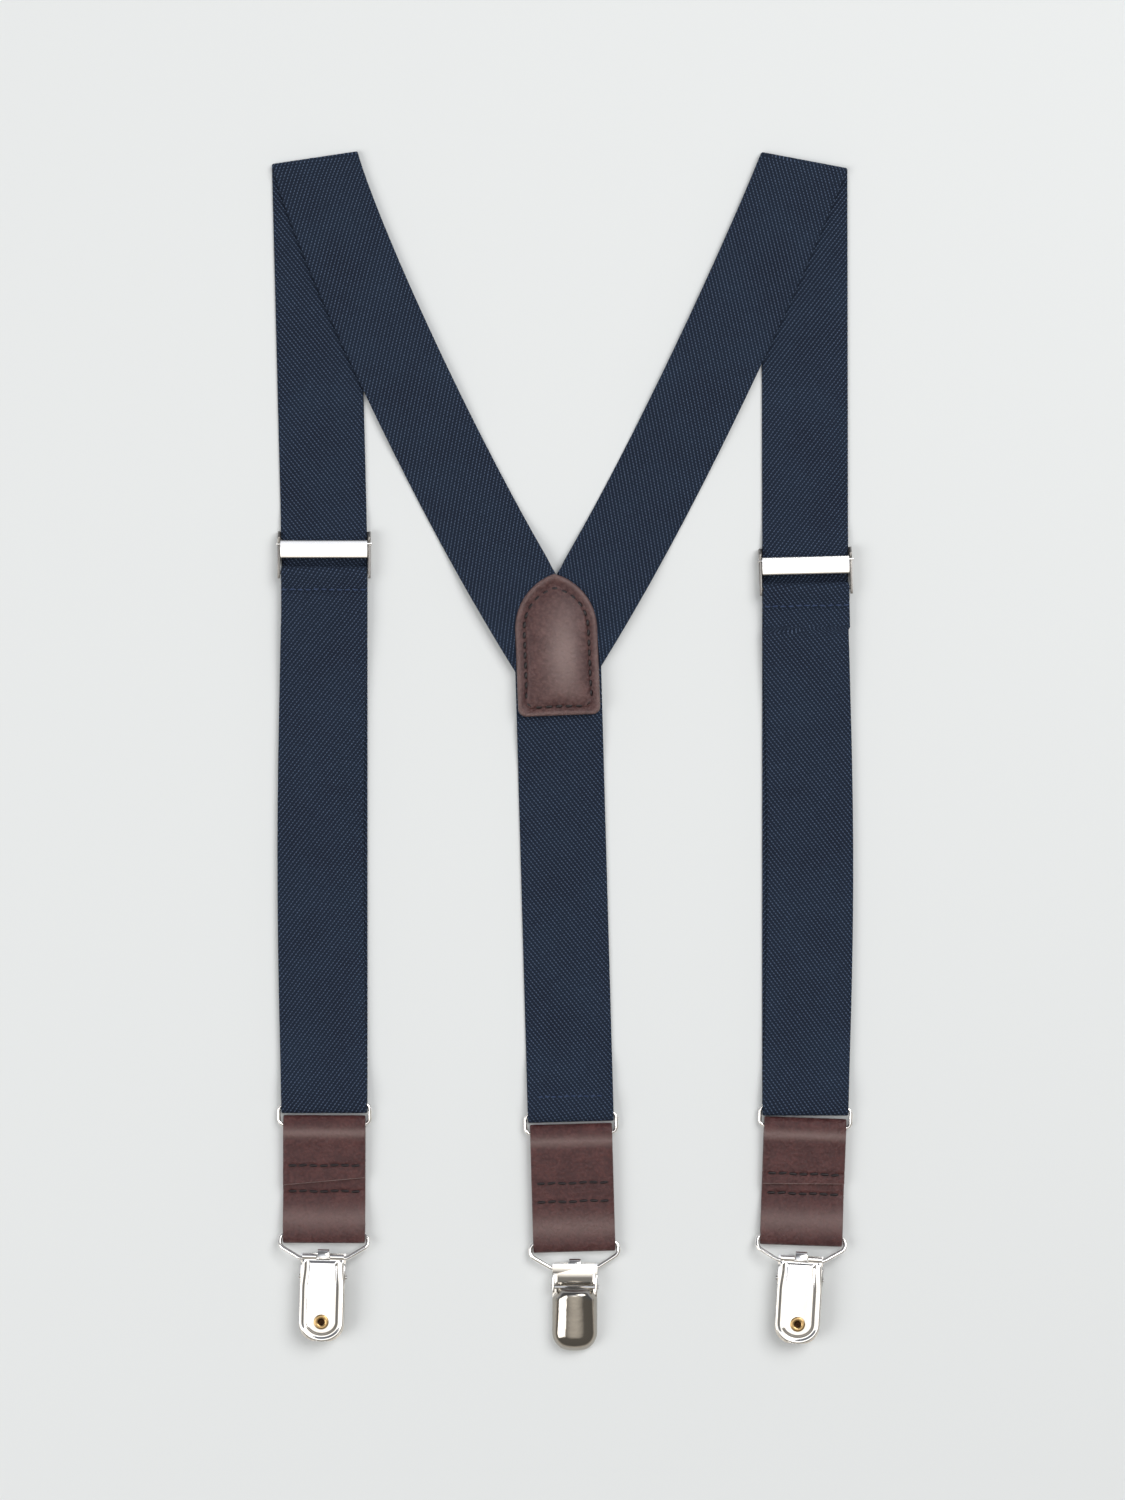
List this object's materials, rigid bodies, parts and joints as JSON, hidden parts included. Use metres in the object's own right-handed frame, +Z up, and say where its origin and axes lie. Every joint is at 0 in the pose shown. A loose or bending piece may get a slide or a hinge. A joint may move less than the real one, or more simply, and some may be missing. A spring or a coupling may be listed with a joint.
{
  "type": "suspenders",
  "caption": "Y-back trouser suspenders of wide webbing laid flat, with leather yoke patch and tabs, oval wire rings, lever sliders and sprung metal clips.",
  "frame": {"origin": "middle of the footprint on the table", "axes": "+X to the right, +Y from the clips towards the shoulder folds, +Z up off the table"},
  "size_m": [0.2364, 0.4874, 0.0093],
  "materials": {
    "webbing": "navy diagonal-weave elastic webbing",
    "leather": "brown grained leather",
    "nickel": "polished nickel plate",
    "brass": "plated brass",
    "plastic": "pale plastic"
  },
  "bodies": {
    "straps": {"yoke_patch": "leather", "yoke_lining": "leather", "left_strap": "webbing", "right_strap": "webbing", "back_strap": "webbing"},
    "left_strap_end": {"left_tail": "webbing"},
    "left_slider": {"left_slider_frame": "nickel", "left_tail_head": "webbing"},
    "left_slider_lever": {"left_slider_lever": "nickel"},
    "right_strap_end": {"right_tail": "webbing"},
    "right_slider": {"right_slider_frame": "nickel", "right_tail_head": "webbing"},
    "right_slider_lever": {"right_slider_lever": "nickel"},
    "back_strap_end": {"back_strap_end": "webbing"},
    "left_ring": {"left_ring": "nickel"},
    "left_tab": {"left_tab": "leather"},
    "left_wire_loop": {"left_wire_loop": "nickel"},
    "left_clip": {"left_clip_back_plate": "nickel", "left_clip_bridge": "nickel", "left_clip_jaw_pad": "plastic", "left_clip_rivet": "brass", "left_clip_pin": "nickel"},
    "left_clip_lever": {"left_clip_lever": "nickel"},
    "right_ring": {"right_ring": "nickel"},
    "right_tab": {"right_tab": "leather"},
    "right_wire_loop": {"right_wire_loop": "nickel"},
    "right_clip": {"right_clip_back_plate": "nickel", "right_clip_bridge": "nickel", "right_clip_jaw_pad": "plastic", "right_clip_rivet": "brass", "right_clip_pin": "nickel"},
    "right_clip_lever": {"right_clip_lever": "nickel"},
    "back_ring": {"back_ring": "nickel"},
    "back_tab": {"back_tab": "leather"},
    "back_wire_loop": {"back_wire_loop": "nickel"},
    "back_clip": {"back_clip_back_plate": "nickel", "back_clip_bridge": "nickel", "back_clip_jaw_pad": "plastic", "back_clip_rivet": "brass", "back_clip_pin": "nickel"},
    "back_clip_lever": {"back_clip_lever": "nickel"}
  },
  "joints": [
    {"name": "left_length", "type": "slide", "parent": "straps", "child": "left_strap_end", "axis": [0, -1, 0], "range_m": [-0.02, 0.15], "deforming": ["left_strap"]},
    {"name": "left_slider_travel", "type": "slide", "parent": "left_strap_end", "child": "left_slider", "axis": [0, -1, 0], "range_m": [-0.02, 0.15], "deforming": ["left_tail"]},
    {"name": "left_slider_lock", "type": "hinge", "parent": "left_slider", "child": "left_slider_lever", "pos_m": [-0.09676, 0.08389, 0.0044], "axis": [-1, 0, 0], "range_deg": [0, 100]},
    {"name": "right_length", "type": "slide", "parent": "straps", "child": "right_strap_end", "axis": [0, -1, 0], "range_m": [-0.02, 0.15], "deforming": ["right_strap"]},
    {"name": "right_slider_travel", "type": "slide", "parent": "right_strap_end", "child": "right_slider", "axis": [0, -1, 0], "range_m": [-0.02, 0.15], "deforming": ["right_tail"]},
    {"name": "right_slider_lock", "type": "hinge", "parent": "right_slider", "child": "right_slider_lever", "pos_m": [0.09868, 0.07729, 0.0044], "axis": [-0.9997, -0.0244, 0], "range_deg": [0, 100]},
    {"name": "back_stretch", "type": "slide", "parent": "straps", "child": "back_strap_end", "axis": [0.0279, -0.9996, 0], "range_m": [0, 0.04], "stiffness_N_per_m": 100, "deforming": ["back_strap"]},
    {"name": "left_ring_hinge", "type": "hinge", "parent": "left_strap_end", "child": "left_ring", "pos_m": [-0.0968, -0.14381, 0.00235], "axis": [-0.9998, -0.0175, 0], "range_deg": [-40, 40]},
    {"name": "left_tab_hinge", "type": "hinge", "parent": "left_ring", "child": "left_tab", "pos_m": [-0.09673, -0.15201, 0.00235], "axis": [-0.9999, 0.014, 0], "range_deg": [-40, 40]},
    {"name": "left_loop_hinge", "type": "hinge", "parent": "left_tab", "child": "left_wire_loop", "pos_m": [-0.09688, -0.19641, 0.00235], "axis": [-1, 0.007, 0], "range_deg": [-40, 40]},
    {"name": "left_clip_hinge", "type": "hinge", "parent": "left_wire_loop", "child": "left_clip", "pos_m": [-0.09695, -0.206, 0.0061], "axis": [-0.9996, 0.0279, 0], "range_deg": [-40, 40]},
    {"name": "left_clip_lever_hinge", "type": "hinge", "parent": "left_clip", "child": "left_clip_lever", "pos_m": [-0.09716, -0.2136, 0.0046], "axis": [0.9996, -0.0279, 0], "range_deg": [0, 90]},
    {"name": "right_ring_hinge", "type": "hinge", "parent": "right_strap_end", "child": "right_ring", "pos_m": [0.09888, -0.14481, 0.00235], "axis": [-0.9994, 0.0349, 0], "range_deg": [-40, 40]},
    {"name": "right_tab_hinge", "type": "hinge", "parent": "right_ring", "child": "right_tab", "pos_m": [0.09859, -0.15301, 0.00235], "axis": [-0.9994, 0.0349, 0], "range_deg": [-40, 40]},
    {"name": "right_loop_hinge", "type": "hinge", "parent": "right_tab", "child": "right_wire_loop", "pos_m": [0.09704, -0.19738, 0.00235], "axis": [-0.9995, 0.0314, 0], "range_deg": [-40, 40]},
    {"name": "right_clip_hinge", "type": "hinge", "parent": "right_wire_loop", "child": "right_clip", "pos_m": [0.09674, -0.20697, 0.0061], "axis": [-0.9982, 0.0593, 0], "range_deg": [-40, 40]},
    {"name": "right_clip_lever_hinge", "type": "hinge", "parent": "right_clip", "child": "right_clip_lever", "pos_m": [0.09629, -0.21455, 0.0046], "axis": [0.9982, -0.0593, 0], "range_deg": [0, 90]},
    {"name": "back_ring_hinge", "type": "hinge", "parent": "back_strap_end", "child": "back_ring", "pos_m": [0.00338, -0.14734, 0.00235], "axis": [-0.9998, -0.0209, 0], "range_deg": [-40, 40]},
    {"name": "back_tab_hinge", "type": "hinge", "parent": "back_ring", "child": "back_tab", "pos_m": [0.00355, -0.15554, 0.00235], "axis": [-0.9996, -0.0279, 0], "range_deg": [-40, 40]},
    {"name": "back_loop_hinge", "type": "hinge", "parent": "back_tab", "child": "back_wire_loop", "pos_m": [0.00479, -0.19992, 0.00235], "axis": [-0.9996, -0.0279, 0], "range_deg": [-40, 40]},
    {"name": "back_clip_hinge", "type": "hinge", "parent": "back_wire_loop", "child": "back_clip", "pos_m": [0.00507, -0.21018, 0.00325], "axis": [-1, 0.0035, 0], "range_deg": [-40, 40]},
    {"name": "back_clip_lever_hinge", "type": "hinge", "parent": "back_clip", "child": "back_clip_lever", "pos_m": [0.00505, -0.21778, 0.00475], "axis": [-1, 0.0035, 0], "range_deg": [0, 90]}
  ],
  "couplings": [
    {"joint": "left_slider_travel", "follows": "left_length", "ratio": 1},
    {"joint": "right_slider_travel", "follows": "right_length", "ratio": 1}
  ]
}
